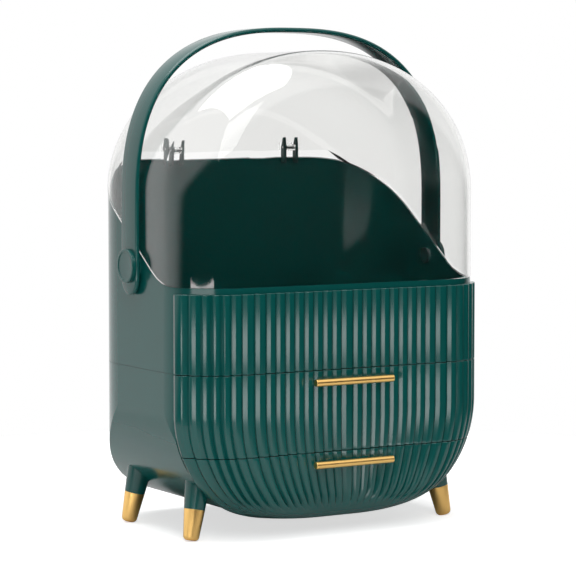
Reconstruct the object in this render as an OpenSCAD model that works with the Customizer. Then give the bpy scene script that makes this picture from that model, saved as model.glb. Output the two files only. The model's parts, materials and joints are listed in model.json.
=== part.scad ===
// Dustproof makeup organizer: a smooth shell on four splayed legs, two drawers with
// fluted fronts, an open upper compartment under a clear lid, and a carrying handle.
// Millimetres. Front is -Y, up is +Z. The origin is on the floor at the middle.

/* [Body] */
// Width over the crests of the fluted front
body_w = 300; // [270:1:340]
// Depth from the crests at the front to the back of the shell
body_d = 198.3; // [180:0.1:240]
// How far the crests of the flutes stand out from the smooth shell, at each side
fascia_proud_side = 4.5; // [3.5:0.1:6]
// How far the crests of the flutes stand out from the smooth shell, at the front
fascia_proud_front = 3.5; // [2.5:0.1:5]
// Radius of the front corners of the fluted outline, seen from above
front_r = 50; // [44:0.5:60]
// Radius of the back corners, seen from above
rear_r = 68; // [40:0.5:75]
// Thickness of the moulded walls
wall_t = 2.5; // [2:0.1:3]
// Radius of the round belly, seen from the front
belly_r = 88; // [70:1:95]
// Height of the lowest point of the belly above the floor
belly_z = 17; // [14:0.5:24]
// Radius that carries the front of the belly round under the lower drawer
belly_front_r = 25; // [18:0.5:30]

/* [Levels] */
// Height of the seam between the upper case and the drawer case
seam_z = 137.9; // [130:0.1:150]
// Height of the seam between the two drawers
drawer_seam_z = 70.8; // [64:0.1:76]
// Height of the top of the fluted panel
flute_top_z = 202.4; // [190:0.1:215]
// Height of the smooth rim above the flutes
rim_h = 4.9; // [4:0.1:8]
// Height of the top of the back wall
back_top_z = 309; // [296:0.5:314]
// Rise of the side walls' sloping top edge, in height per length
side_slope = 0.72; // [0.6:0.01:0.8]

/* [Flutes] */
// Width of a plain flute
flute_w = 8.8; // [8:0.1:9.6]
// Depth of the grooves between flutes
flute_depth = 2.6; // [1.5:0.1:3]
// Width of the middle flute
centre_flute_w = 11.3; // [9:0.1:13]
// Distance from the front to the edge of the fluted panel
fascia_edge_y = 34; // [26:0.5:40]

/* [Drawers] */
// Gap between a drawer and what it slides along
slide_gap = 0.3; // [0.25:0.05:0.5]
// Gap between a tray's walls and the inside of the shell
tray_gap = 0.8; // [0.5:0.1:1.5]
// Thickness of the trays
tray_t = 2; // [1.6:0.1:2.4]
// Visible gap between fluted fronts
front_gap = 0.5; // [0.3:0.1:0.8]
// Height of the upper tray's walls
upper_tray_h = 62; // [40:1:64]
// Height of the lower tray's walls
lower_tray_h = 40; // [30:1:41]
// Depth of the gap left behind the trays
tray_back_gap = 6; // [4:0.5:12]
// Thickness of the shelf between the drawers
shelf_t = 2; // [1.6:0.1:2.4]

/* [Bars] */
// Diameter of the bar pulls
bar_d = 6; // [5:0.1:7]
// Length of the bar pulls
bar_l = 75; // [60:1:90]
// Distance from the flutes' crests to the middle of a bar
bar_out = 8; // [7:0.1:10]
// Distance from a seam down to the middle of its bar
bar_drop = 9; // [8:0.1:12]
// Distance between the two posts of a bar
post_pitch = 54; // [40:1:56]
// Diameter of the posts
post_d = 4; // [3:0.1:4.5]

/* [Handle] */
// Thickness of the handle's band
band_t = 4; // [3:0.1:4.5]
// Width of the handle's band
band_w = 26.5; // [22:0.5:30]
// Gap between the band and the smooth shell
band_gap = 1.6; // [1.4:0.1:2.2]
// Height of the handle's top
handle_top_z = 418; // [412:0.5:440]
// Height at which the legs of the handle start to curve in
handle_curve_z = 271; // [262:1:285]
// Squareness of the handle's arch, where 2 is an ellipse
handle_square = 2.6; // [2.3:0.05:2.8]
// Height of the handle's pivots
pivot_z = 221.7; // [216:0.1:228]
// Distance from the front crests back to the pivots
pivot_y = 99.5; // [90:0.5:110]
// Diameter of the pivot pins
pivot_d = 8; // [6:0.1:9]
// Diameter of the round caps over the pivots
cap_d = 28; // [24:0.5:30]
// Thickness of the round caps
cap_t = 3.7; // [3.4:0.1:4.5]
// Clearance round a pin, on the radius
pin_fit = 0.05; // [0.03:0.01:0.1]

/* [Lid] */
// Thickness of the clear lid
lid_t = 2; // [1.6:0.1:2.4]
// How far the lid stands out from the smooth shell
lid_proud = 0.7; // [0.4:0.1:1]
// Height of the lid's top
lid_top_z = 398; // [394:0.5:402]
// Height at which the lid's sides start to curve in
lid_curve_z = 280; // [270:1:290]
// Radius of the lid's edge at the top of the front
lid_top_r = 38; // [30:1:46]
// Gap between the lid and the case below it
lid_gap = 0.4; // [0.3:0.1:0.8]
// Distance from the middle to each lid hinge
hinge_x = 59; // [50:1:75]
// Height of the lid's hinge axis above the back wall
hinge_rise = 6.5; // [6.2:0.1:8]
// Distance from the back of the shell to the lid's hinge axis
hinge_in = 5.5; // [5.3:0.1:6.5]
// Diameter of the hinge pins
hinge_pin_d = 2; // [1.6:0.1:2.4]

/* [Legs] */
// Distance from the side crests in to each foot
foot_in = 25.2; // [22:0.1:36]
// Distance from the front crests back to the front feet
foot_front_y = 43.2; // [40:0.1:60]
// Distance from the back of the shell in to the rear feet
foot_rear_in = 46.1; // [40:0.1:56]
// Lean of the legs outward, in degrees
leg_lean = 12; // [8:0.5:15]
// Radius of a foot near its bottom
foot_r = 6.6; // [6:0.1:8]
// Growth of the leg's radius per length
leg_taper = 0.08; // [0.06:0.01:0.1]
// Length of the metal ferrule
ferrule_l = 25.5; // [20:0.5:30]
// Rounding at the bottom of the ferrule
foot_round = 3.5; // [2.5:0.1:4]

/* [Hidden] */
$fn = 48;
eps = 0.01;
green = [0.05, 0.29, 0.27];
dark_green = [0.04, 0.22, 0.20];
gold = [0.85, 0.66, 0.30];
steel = [0.70, 0.71, 0.72];
clear = [0.90, 0.94, 0.95, 0.35];
// Smooth shell
shell_hw = body_w / 2 - fascia_proud_side;
shell_y0 = fascia_proud_front;
shell_y1 = body_d;
shell_fr = front_r - fascia_proud_front;
mid_y = (body_d + lid_proud - bar_out - bar_d / 2) / 2;
// Belly, seen from the front
belly_zc = belly_z + belly_r;
// Fluted fronts are hollowed out to the outside of the trays
tray_inset = wall_t + tray_gap;
fascia_inner = tray_inset;
hollow_d = tray_inset + fascia_proud_side;
// Flutes, counted from the middle flute outward
wide_first = 9;
corner_first = 12;
wide_last = 15;
flute_last = 16;
flute_pts = 4;
// Levels
rim_z = flute_top_z + rim_h;
case_floor_t = 3;
floor_rise = 2.5;
runner_t = hollow_d + floor_rise - wall_t - slide_gap;
shoulder_gap = 0.3;
tray_fit = 0.15;
// The case's mouth lies where its front corners have begun to turn in, so it is narrower
// than the inside by mouth_in on each side, and the trays are narrow enough to pass it.
mouth_r = shell_fr - wall_t;
mouth_in = mouth_r - sqrt(pow(mouth_r, 2) - pow(front_r - fascia_edge_y - front_gap, 2));
tray_side_in = tray_inset + mouth_in + shoulder_gap;
shelf_z = drawer_seam_z - 0.2;
upper_tray_z = shelf_z + slide_gap;
lower_tray_z = belly_z + wall_t + runner_t + slide_gap;
// Handle and pivots
band_x0 = shell_hw + band_gap;
band_x1 = band_x0 + band_t;
handle_end_z = pivot_z - 23.8;
pin_gap = 0.3;
boss_t = band_gap - pin_gap;
pin_head_t = 1.5;
pin_head_w = 3.5;
pin_head_d = pivot_d + 2 * pin_head_w;
pin_tail_t = 2;
pin_tail_w = 2.5;
// Lid
lid_hw = shell_hw + lid_proud;
lid_y0 = shell_y0 - 0.2;
lid_y1 = shell_y1 + lid_proud;
lid_fr = shell_fr + lid_proud;
lid_rr = rear_r + lid_proud;
hinge_y = shell_y1 - hinge_in;
hinge_z = back_top_z + hinge_rise;
ear_t = 2.4;
ear_gap = 0.4;
ear_r = 2.8;
ear_foot = 14;
ear_tip = 9;
tongue_w = 9;
barrel_r = 3;
lid_back_z = hinge_z - 2.6;
// Slope of the side walls' top edge
slope_y0 = shell_y0 + shell_fr + 4;
slope_r = 60;
slope_a = atan(side_slope);
slope_top_y = slope_y0 + (back_top_z - rim_z) / side_slope + slope_r * tan(slope_a / 2);
lid_square = 2.08;
lid_steps = 6;
lid_low_z = rim_z - 12;
corner_drop = 4;
// Angles round the lid's arch; the second value marks the two lower ends.
lid_angles = concat([[0, 1]], [for (i = [0 : 24]) [180 * i / 24, 0]], [[180, 1]]);
// Runners under the lower drawer
runner_x = 40;
runner_w = 6;
runner_in = 2;
// Rails and the screws in them
rail_z = seam_z - 4;
rail_w = 10;
rail_y = [fascia_edge_y + 10, shell_y1 - wall_t - rail_w / 2 - 1];
screw_x = 60;
// Bars
upper_bar_z = seam_z - bar_drop;
lower_bar_z = drawer_seam_z - bar_drop;
tray_front_y = hollow_d + tray_fit;
screw_d = 2.4;
screw_grip = 7;
screw_head_t = 1.4;
// Legs
leg_l = 62;
plug_r = 4;
foot_x = body_w / 2 - foot_in;
foot_rear_y = body_d - foot_rear_in;

// Puts a piece drawn from the front crests into the part's own frame.
module placed() translate([0, -mid_y, 0]) children();

// Rounded outline from above: half width, front, back, front and back radius.
module plan(hw, y0, y1, fr, rr) {
    translate([-hw + fr, y0]) square([2 * (hw - fr), fr + 1]);
    translate([-hw, y0 + fr]) square([2 * hw, y1 - rr - y0 - fr]);
    translate([-hw + rr, y1 - rr - 1]) square([2 * (hw - rr), rr + 1]);
    for (s = [-1, 1]) {
        translate([s * (hw - fr), y0 + fr]) circle(fr);
        translate([s * (hw - rr), y1 - rr]) circle(rr);
    }
}

// The smooth shell's outline, moved in by d.
module shell_plan(d = 0) plan(shell_hw - d, shell_y0 + d, shell_y1 - d, shell_fr - d, rear_r - d);

// Front view of the round belly, moved in by d and closed at the height z1.
module belly_view(hw, d, z1) {
    r = belly_r - d;
    translate([-hw + d, belly_zc]) square([2 * (hw - d), z1 - belly_zc]);
    translate([-hw + belly_r, belly_z + d]) square([2 * (hw - belly_r), z1 - belly_z - d]);
    intersection() {
        union() for (s = [-1, 1]) translate([s * (hw - belly_r), belly_zc]) circle(r, $fn = 72);
        translate([-hw, 0]) square([2 * hw, belly_zc + eps]);
    }
}

// Belly-shaped block between two distances from the front.
module belly_block(hw, d, z1, y0, y1)
    translate([0, y1, 0]) rotate([90, 0, 0]) linear_extrude(y1 - y0) belly_view(hw, d, z1);

// A slab across the whole part between two heights.
module slab(z0, z1) translate([-body_w, -body_w, z0]) cube([2 * body_w, 3 * body_w, z1 - z0]);

// Smooth outside of the drawer case, moved in by d.
module shell_block(d, z0, z1) intersection() {
    translate([0, 0, z0]) linear_extrude(z1 - z0) shell_plan(d);
    belly_block(shell_hw, d, z1 + 1, 0, body_d + 1);
}

// Width of the flute with the number k, where 0 is the middle one.
function flute_width(k) =
    k == 0 ? centre_flute_w :
    k < wide_first ? flute_w :
    k == wide_first ? 1.16 * flute_w :
    k == wide_first + 1 ? 1.32 * flute_w :
    k < corner_first ? 1.18 * flute_w :
    k < wide_last ? 0.98 * flute_w :
    k == wide_last ? 1.34 * flute_w : 1.6 * flute_w;
// Distance along the outline from the middle to the outer groove of flute k.
function groove_s(k) = k == 0 ? flute_width(0) / 2 : groove_s(k - 1) + flute_width(k);
panel_s = groove_s(flute_last);
// Depth below the crest at the share t of a flute's width, from 0 to 1.
function flute_sink(t) = 1 - pow(max(0, sin(180 * t)), 0.45);
// Half of the fluted line, from the middle outward: [share of the panel, depth].
half_line = concat(
    [for (j = [flute_pts / 2 : flute_pts]) [groove_s(0) * (2 * j / flute_pts - 1) / panel_s,
        flute_sink(j / flute_pts)]],
    [for (k = [1 : flute_last]) for (j = [1 : flute_pts])
        [(groove_s(k - 1) + flute_width(k) * j / flute_pts) / panel_s,
        flute_sink(j / flute_pts)]]);
flute_line = concat([for (i = [len(half_line) - 1 : -1 : 1]) [-half_line[i][0], half_line[i][1]]],
    half_line);

// Length of the panel's half outline on a level with this half width and front inset.
function flat_l(hw) = max(0, hw - front_r);
function turn_a(y) = acos(max(-1, min(1, (front_r - fascia_edge_y + y) / front_r)));
function half_l(hw, y) = flat_l(hw) + front_r * turn_a(y) * PI / 180;
// Point on the level's outline at the share u of its half length, sunk by the depth d.
function rim_pt(u, hw, y, d) =
    let (s = abs(u) * half_l(hw, y), sg = u < 0 ? -1 : 1, f = flat_l(hw))
    s <= f ? [sg * s, y + d] :
    let (a = (s - f) / front_r * 180 / PI)
    [sg * (f + (front_r - d) * sin(a)), y + front_r - (front_r - d) * cos(a)];

// Half width and front of the outline at the height z, d inside the crests. Both are
// given as they would be on the crests, since rim_pt moves in by d again.
function level_hw(z, d = 0) = let (h = max(0, belly_zc - z), r = belly_r - d)
    body_w / 2 - belly_r + sqrt(max(0, r * r - h * h)) + d;
function level_y(z, d = 0) = let (h = max(0, belly_z + belly_front_r - z), r = belly_front_r - d)
    belly_front_r - sqrt(max(0, r * r - h * h)) - d;
// Flutes fade out as the front turns under.
function level_flute(z) = flute_depth * min(1, max(0, (z - belly_z - 9) / 22));

// Point of a level's line, moved in by d; only the end points lie on the plane back_y.
function level_pt(q, z, d, back_y) =
    let (p = rim_pt(q[0], level_hw(z, d), level_y(z, d), d + q[1] * level_flute(z)))
    [p[0], abs(q[0]) > 1 - eps ? back_y : min(p[1], fascia_edge_y - 1 + abs(q[0])), z];

// Two triangles of each cell between two rows of points, w points apart, over the columns j.
function cells(i, w, n, j0, j1) = [for (j = [j0 : j1]) let (k = (j + 1) % n) each
    [[i * w + k, (i + 1) * w + k, (i + 1) * w + j], [i * w + j, i * w + k, (i + 1) * w + j]]];
function turned(faces) = [for (f = faces) [f[2], f[1], f[0]]];

// Smooth closed block between levels, top first, moved in by d, with its back at back_y.
// Each level is a loop: along the front, then back along the flat back.
module smooth_block(levels, d, back_y) {
    line = [for (i = [-12 : 12]) [i / 12, 0]];
    n = len(line);
    m = len(levels);
    w = 2 * n - 2;
    last = (m - 1) * w;
    pts = [for (z = levels) each concat([for (q = line) level_pt(q, z, d, back_y)],
        [for (j = [n - 2 : -1 : 1]) [level_pt(line[j], z, d, back_y)[0], back_y, z]])];
    cap = concat([for (j = [0 : n - 3]) [j, j + 1, w - j - 1]],
        [for (j = [1 : n - 2]) [j, w - j - 1, (w - j) % w]]);
    polyhedron(points = pts, faces = concat(
        [for (i = [0 : m - 2]) each cells(i, w, w, 0, w - 1)],
        turned(cap), [for (f = cap) [for (v = f) v + last]]), convexity = 10);
}

// Fluted shell: the fluted line outside, the same line moved in by d and smooth inside. It is
// open below, or closed by a floor where the lowest inner level lies above the outer one.
module fluted_shell(outer, inner, d) {
    n = len(flute_line);
    m = len(outer);
    c = m * n;
    last = c - n;
    closed = inner[m - 1] > outer[m - 1] + eps;
    pts = concat([for (z = outer) for (q = flute_line) level_pt(q, z, 0, fascia_edge_y)],
        [for (z = inner) for (q = flute_line) level_pt([q[0], 0], z, d, fascia_edge_y)]);
    sides = [for (i = [0 : m - 2]) each cells(i, n, n, 0, n - 2)];
    rims = [for (j = [0 : n - 2]) each [[j + 1, j, c + j], [j + 1, c + j, c + j + 1]]];
    ends = [for (i = [0 : m - 2]) let (a = i * n, b = a + n - 1) each
        [[a, a + n, c + a + n], [a, c + a + n, c + a], [b + n, b, c + b], [b + n, c + b, c + b + n]]];
    polyhedron(points = pts, faces = concat(sides, turned([for (f = sides) [for (v = f) v + c]]),
        rims, ends, closed ?
        [[for (j = [0 : n - 1]) last + j], [for (j = [n - 1 : -1 : 0]) c + last + j],
            [last, last + n - 1, c + last + n - 1, c + last]] :
        turned([for (f = rims) [for (v = f) v + last]])), convexity = 10);
}

// Heights down the round of the belly, from z1 to z0, in n steps of the belly's angle.
function belly_angle(z) = asin(min(1, max(0, (belly_zc - z) / belly_r)));
function levels(z1, z0, n) = [for (i = [0 : n])
    let (a1 = belly_angle(z1), a0 = belly_angle(z0))
    i == 0 ? z1 : i == n ? z0 :
    a1 == 0 && i == 1 ? belly_zc : belly_zc - belly_r * sin(a1 + (a0 - a1) * (i - (a1 == 0 ? 1 : 0))
        / (n - (a1 == 0 ? 1 : 0)))];

// Side view of the case's top edge: level rim, curve, slope, and level back wall.
module edge_view(lift) translate([0, lift]) {
    polygon(concat(
        [[-1, 0], [-1, rim_z], [slope_y0 - slope_r * tan(slope_a / 2), rim_z]],
        [for (i = [1 : 8]) let (a = slope_a * i / 8)
            [slope_y0 - slope_r * tan(slope_a / 2) + slope_r * sin(a),
            rim_z + slope_r * (1 - cos(a))]],
        [for (i = [0 : 8]) let (a = slope_a * (1 - i / 8))
            [slope_top_y - slope_r * sin(a), back_top_z - slope_r * (1 - cos(a))]],
        [[body_d + 5, back_top_z], [body_d + 5, 0]]));
}

module edge_block(lift) translate([-body_w, 0, 0]) rotate([90, 0, 90])
    linear_extrude(2 * body_w) edge_view(lift);

// A pin, bore or disc along X at the handle's pivot, from x0 to x1 on the side s.
module pivot_disc(s, x0, x1, d) translate([s > 0 ? x0 : -x1, pivot_y, pivot_z])
    rotate([0, 90, 0]) cylinder(d = d, h = x1 - x0);

// The two rails across the top of the drawer case, front and back.
module rails() intersection() {
    shell_block(wall_t - eps, rail_z, seam_z);
    for (y = rail_y) translate([-body_w, y - rail_w / 2, rail_z])
        cube([2 * body_w, rail_w, seam_z]);
}

// The place of each screw that joins the upper case to the rails.
module screw_places() for (x = [-1, 1], y = rail_y)
    translate([x * screw_x, y, 0]) children();

module lower_case() color(green) placed() {
    difference() {
        intersection() {
            shell_block(0, belly_z, seam_z);
            translate([-body_w, fascia_edge_y + front_gap, 0]) cube([2 * body_w, body_d, seam_z]);
        }
        difference() {
            shell_block(wall_t, belly_z, seam_z + 1);
            rails();
        }
        screw_places() translate([0, 0, rail_z - 1]) cylinder(d = screw_d, h = 10);
        for (x = [-1, 1], f = [0, 1]) leg_frame(x, f) cylinder(r = plug_r, h = leg_l);
    }
}

// Everything below the lid's arch, moved in by d. It starts to curve in a little lower
// than the lid, so that the back corners stay inside the lid's round ones.
module arched(d) translate([0, body_d + 1, 0]) rotate([90, 0, 0]) linear_extrude(body_d + 2)
    polygon(concat([[shell_hw - d, 0]],
        [for (i = [0 : 24]) arch_pt(shell_hw - d, lid_curve_z - corner_drop,
            lid_top_z - 2 * corner_drop - d, lid_square, 180 * i / 24)],
        [[d - shell_hw, 0]]));

module upper_case() color(green) placed() {
    difference() {
        union() {
            intersection() {
                translate([0, 0, seam_z]) linear_extrude(back_top_z) shell_plan();
                edge_block(0);
                arched(0);
            }
            for (s = [-1, 1]) pivot_disc(s, shell_hw - 1, shell_hw + boss_t, cap_d - 4);
        }
        intersection() {
            translate([0, 0, seam_z + case_floor_t]) linear_extrude(back_top_z)
                plan(shell_hw - wall_t, shell_y0 + fascia_inner + wall_t, shell_y1 - wall_t,
                    shell_fr - 0.5, rear_r - wall_t);
            arched(wall_t);
        }
        // Recess for the fluted panel
        intersection() {
            translate([0, 0, seam_z - 1]) linear_extrude(flute_top_z - seam_z + 1)
                difference() {
                    translate([-body_w, -body_w]) square([2 * body_w, 2 * body_w]);
                    shell_plan(fascia_inner);
                }
            translate([-body_w, -body_w, 0]) cube([2 * body_w, body_w + fascia_edge_y
                + front_gap, back_top_z]);
        }
        // Shadow line along the seam
        translate([0, 0, seam_z - 1]) linear_extrude(1.5) difference() {
            shell_plan(-1);
            shell_plan(0.6);
        }
        for (s = [-1, 1]) pivot_disc(s, shell_hw - wall_t - 1, shell_hw + boss_t + 1, pivot_d);
        screw_places() translate([0, 0, seam_z - 1]) cylinder(d = screw_d, h = 10);
    }
}

module upper_fascia() color(green) placed()
    fluted_shell([flute_top_z, seam_z + front_gap / 2], [flute_top_z, seam_z + front_gap / 2],
        fascia_inner + fascia_proud_front);

module drawer_shelf() color(dark_green) placed() intersection() {
    shell_block(wall_t, shelf_z - shelf_t, shelf_z);
    translate([-body_w, fascia_edge_y + runner_in, 0]) cube([2 * body_w, body_d, body_w]);
}

module lower_runners() color(dark_green) placed() for (s = [-1, 1])
    translate([s * runner_x - runner_w / 2, fascia_edge_y + runner_in, belly_z + wall_t])
        cube([runner_w, shell_y1 - rear_r / 2 - fascia_edge_y, runner_t]);

// Two ears for each lid hinge, on the inside of the back wall's top.
module ear(x) translate([x - ear_t / 2, 0, 0]) rotate([90, 0, 90]) linear_extrude(ear_t)
    difference() {
        union() {
            translate([hinge_y, hinge_z]) circle(ear_r);
            polygon([[hinge_y - ear_r, hinge_z], [hinge_y - ear_r, hinge_z - ear_foot],
                [shell_y1 - wall_t, hinge_z - ear_foot],
                [shell_y1 - wall_t, hinge_z - ear_foot / 2], [hinge_y + ear_r, hinge_z],
                [hinge_y - 0.4, hinge_z + ear_tip], [hinge_y - 1.8, hinge_z + ear_tip]]);
        }
        translate([hinge_y, hinge_z]) circle(d = hinge_pin_d);
    }

module hinge_ears() color(dark_green) placed() for (s = [-1, 1], e = [-1, 1])
    ear(s * hinge_x + e * (tongue_w / 2 + ear_gap + ear_t / 2));

module hinge_pins() color(steel) placed() for (s = [-1, 1])
    translate([s * hinge_x - tongue_w / 2 - ear_gap - ear_t, hinge_y, hinge_z])
        rotate([0, 90, 0]) cylinder(d = hinge_pin_d, h = tongue_w + 2 * ear_gap + 2 * ear_t);

module handle_pins() color(steel) placed() for (s = [-1, 1]) {
    pivot_disc(s, shell_hw - wall_t - pin_tail_t, band_x1 + pin_gap + pin_head_t, pivot_d);
    pivot_disc(s, band_x1 + pin_gap, band_x1 + pin_gap + pin_head_t, pin_head_d);
    pivot_disc(s, shell_hw - wall_t - pin_tail_t, shell_hw - wall_t,
        pivot_d + 2 * pin_tail_w);
}

module case_screws() color(steel) placed() screw_places() {
    translate([0, 0, rail_z]) cylinder(d = screw_d, h = seam_z + case_floor_t - rail_z);
    translate([0, 0, seam_z + case_floor_t]) cylinder(d = 2 * screw_d, h = screw_head_t);
}

// Frame of a leg: origin at the middle of the foot, axis up the leg.
module leg_frame(x, rear) {
    y = rear == 1 ? foot_rear_y : foot_front_y;
    flat_r = foot_r - foot_round;
    translate([x * foot_x, y, foot_round + flat_r * sin(leg_lean) - foot_round * cos(leg_lean)])
        rotate([0, 0, x * (rear == 1 ? 25 : -25)]) rotate([0, -x * leg_lean, 0]) children();
}

// Green cone of a leg, up to the smooth shell, with its plug and its ferrule's spigot.
module leg(x, rear) color(green) placed() {
    difference() {
        leg_frame(x, rear) union() {
            translate([0, 0, ferrule_l]) cylinder(r1 = foot_r + leg_taper * ferrule_l,
                r2 = foot_r + leg_taper * leg_l, h = leg_l - ferrule_l);
            translate([0, 0, 6]) cylinder(r = foot_r - 1.6, h = ferrule_l - 6 + eps);
        }
        shell_block(0, belly_z, seam_z);
        slab(seam_z / 2, seam_z);
    }
    intersection() {
        leg_frame(x, rear) translate([0, 0, ferrule_l]) cylinder(r = plug_r, h = leg_l - ferrule_l);
        shell_block(-1, belly_z - 2, seam_z);
        difference() {
            slab(0, seam_z);
            shell_block(wall_t, belly_z - 1, seam_z);
        }
    }
}

module ferrule(x, rear) color(gold) placed() leg_frame(x, rear) difference() {
    rotate_extrude() union() {
        polygon([[0, 0], [foot_r - foot_round, 0], [foot_r, foot_round],
            [foot_r + leg_taper * ferrule_l, ferrule_l], [0, ferrule_l]]);
        intersection() {
            translate([foot_r - foot_round, foot_round]) circle(foot_round);
            square([foot_r, foot_round]);
        }
    }
    translate([0, 0, 6]) cylinder(r = foot_r - 1.6, h = ferrule_l);
}

module leg_front_left() leg(-1, 0);
module leg_front_right() leg(1, 0);
module leg_rear_left() leg(-1, 1);
module leg_rear_right() leg(1, 1);
module ferrule_front_left() ferrule(-1, 0);
module ferrule_front_right() ferrule(1, 0);
module ferrule_rear_left() ferrule(-1, 1);
module ferrule_rear_right() ferrule(1, 1);

// Outside of a tray between two heights, moved in by t: its front fills the hollow of the
// fluted front, and the rest has straight sides, a round back and the belly's section.
module tray_block(t, z0, z1) {
    back_y0 = fascia_edge_y + shoulder_gap + t;
    d = tray_inset + t;
    smooth_block(tray_levels(z1, z0), hollow_d + tray_fit + t, fascia_edge_y + 1 + t);
    intersection() {
        translate([0, 0, z0]) linear_extrude(z1 - z0) plan(shell_hw - tray_side_in - t,
            shell_y0 - shell_fr, shell_y1 - d, shell_fr, rear_r - d);
        belly_block(shell_hw, d, z1 + 1, 0, body_d);
        translate([-body_w, back_y0, z0])
            cube([2 * body_w, shell_y1 - hollow_d - tray_back_gap - t - back_y0, z1 - z0]);
    }
}
function tray_levels(z1, z0) = z0 > belly_zc - belly_r / 2 ? levels(z1, z0, 3) : levels(z1, z0, 6);

// Open tray between two heights.
module tray(z0, h) difference() {
    tray_block(0, z0, z0 + h);
    tray_block(tray_t, z0 + tray_t, z0 + h + 1);
}

// Fluted drawer front round a tray, with holes for the bar's posts.
module drawer_front(outer, inner, bar_z) difference() {
    fluted_shell(outer, inner, hollow_d);
    bar_holes(bar_z, post_d);
}

module bar_holes(z, d) for (s = [-1, 1]) translate([s * post_pitch / 2, -bar_out, z])
    rotate([-90, 0, 0]) cylinder(d = d, h = 40);

module upper_tray() color(dark_green) placed() difference() {
    tray(upper_tray_z, upper_tray_h);
    bar_holes(upper_bar_z, screw_d);
}

module lower_tray() color(dark_green) placed() difference() {
    tray(lower_tray_z, lower_tray_h);
    bar_holes(lower_bar_z, screw_d);
}

module upper_drawer_front() color(green) placed() {
    heights = levels(seam_z - front_gap / 2, drawer_seam_z + front_gap / 2, 5);
    drawer_front(heights, heights, upper_bar_z);
}

module lower_drawer_front() color(green) placed()
    drawer_front(levels(drawer_seam_z - front_gap / 2, belly_z, 10),
        levels(drawer_seam_z - front_gap / 2, lower_tray_z - tray_fit, 10), lower_bar_z);

module bar(z) translate([-bar_l / 2, -bar_out, z]) rotate([0, 90, 0])
    cylinder(d = bar_d, h = bar_l);

// Posts run from the bar through the fluted front to the tray, drilled for a screw.
module posts(z) difference() {
    for (s = [-1, 1]) translate([s * post_pitch / 2, -bar_out, z]) rotate([-90, 0, 0])
        difference() {
            cylinder(d = post_d, h = bar_out + tray_front_y);
            translate([0, 0, bar_out + tray_front_y - screw_grip])
                cylinder(d = screw_d, h = screw_grip + 1);
        }
    bar(z);
}

module bar_screws(z) for (s = [-1, 1]) translate([s * post_pitch / 2, tray_front_y, z])
    rotate([-90, 0, 0]) {
        translate([0, 0, -screw_grip]) cylinder(d = screw_d, h = screw_grip + tray_t);
        translate([0, 0, tray_t]) cylinder(d = 2 * screw_d, h = screw_head_t);
    }

module upper_bar() color(gold) placed() bar(upper_bar_z);
module lower_bar() color(gold) placed() bar(lower_bar_z);
module upper_posts() color(gold) placed() posts(upper_bar_z);
module lower_posts() color(gold) placed() posts(lower_bar_z);
module upper_bar_screws() color(steel) placed() bar_screws(upper_bar_z);
module lower_bar_screws() color(steel) placed() bar_screws(lower_bar_z);

// Point on an arch at the angle t, and its outward direction.
function arch_pt(hw, zc, top, e, t) = [
    sign(cos(t)) * hw * pow(abs(cos(t)), 2 / e),
    zc + (top - zc) * pow(abs(sin(t)), 2 / e)];
function arch_dir(hw, zc, top, e, t) =
    let (v = [sign(cos(t)) * pow(abs(cos(t)), 2 - 2 / e) / hw,
        pow(abs(sin(t)), 2 - 2 / e) / (top - zc)])
    v / norm(v);
function arch_line(hw, top, z0, n) = concat([[hw, z0]],
    [for (i = [0 : n]) arch_pt(hw, handle_curve_z, top, handle_square, 180 * i / n)],
    [[-hw, z0]]);

// Flat band bent into an arch, round at both lower ends.
module handle_band() color(green) placed() difference() {
    intersection() {
        translate([0, pivot_y + band_w / 2, 0]) rotate([90, 0, 0]) linear_extrude(band_w)
            difference() {
                polygon(arch_line(band_x1, handle_top_z, 0, 44));
                polygon(arch_line(band_x0, handle_top_z - band_t, -1, 44));
            }
        translate([-body_w, pivot_y, 0]) rotate([90, 0, 90]) linear_extrude(2 * body_w) {
            translate([0, handle_end_z + band_w / 2]) circle(d = band_w);
            translate([-band_w / 2, handle_end_z + band_w / 2]) square([band_w, handle_top_z]);
        }
    }
    for (s = [-1, 1]) pivot_disc(s, band_x0 - 1, band_x1 + 1, pivot_d + 2 * pin_fit);
}

module cap(s) difference() {
    pivot_disc(s, band_x1, band_x1 + cap_t, cap_d);
    pivot_disc(s, band_x1 - 1, band_x1 + pin_head_t + 2 * pin_gap, pin_head_d + 2 * pin_gap);
    pivot_disc(s, band_x1 + cap_t - 0.6, band_x1 + cap_t + 1, cap_d - 5);
}

module cap_left() color(green) placed() cap(-1);
module cap_right() color(green) placed() cap(1);

// One level-ended ring of the lid: the arch moved in by an edge radius r at the angle a.
// The radius changes from fr at the sides to tr at the top.
function lid_ring(d, front, a) = [for (q = lid_angles)
    let (t = q[0], w = pow(sin(t), 2),
        r = (front ? lid_fr * (1 - w) + lid_top_r * w : lid_rr) - d,
        p = arch_pt(lid_hw - d, lid_curve_z, lid_top_z - d, lid_square, t),
        n = arch_dir(lid_hw - d, lid_curve_z, lid_top_z - d, lid_square, t),
        c = r * (1 - sin(a)))
    [p[0] - c * n[0], front ? lid_y0 + d + r * (1 - cos(a)) : lid_y1 - d - r * (1 - cos(a)),
        q[1] > 0 ? lid_low_z - d : p[1] - c * n[1]]];

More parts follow.
